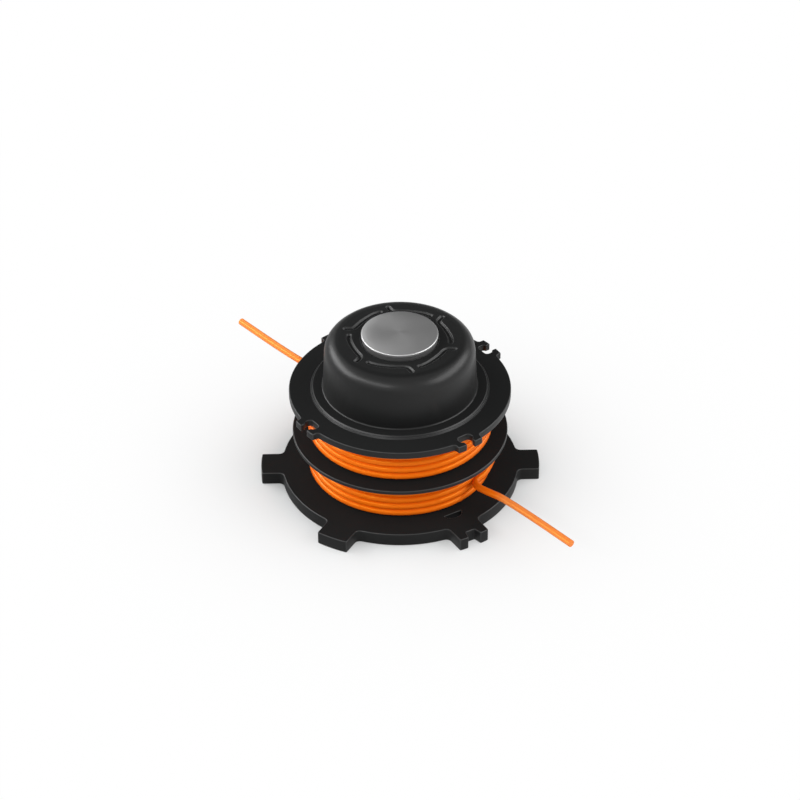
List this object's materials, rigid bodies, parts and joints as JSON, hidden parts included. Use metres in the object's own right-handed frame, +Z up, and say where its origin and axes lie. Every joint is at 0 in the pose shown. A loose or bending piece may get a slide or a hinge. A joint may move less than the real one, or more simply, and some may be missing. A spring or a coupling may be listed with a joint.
{
  "type": "trimmer line spool",
  "caption": "Black moulded line spool for a trimmer head, with drive lugs, line notches, a bump knob with a steel wear disc, and orange cutting line wound in its chambers.",
  "frame": {"origin": "on the spool's axis, at the underside of the drive lugs", "axes": "+Z up along the spool's axis towards the bump knob, +X through the middle of a drive lug, the split lug at 60 degrees from +X towards -Y"},
  "size_m": [0.1086, 0.108, 0.0571],
  "materials": {
    "black_nylon": "satin black moulded nylon",
    "disc_steel": "satin turned steel with a polished edge",
    "orange_line": "glossy, slightly translucent orange nylon line"
  },
  "bodies": {
    "root": {"spool_body": "black_nylon", "wear_disc": "disc_steel", "lower_line_winding": "orange_line", "lower_line_end": "orange_line", "upper_line_winding": "orange_line", "upper_line_end": "orange_line"}
  },
  "joints": []
}
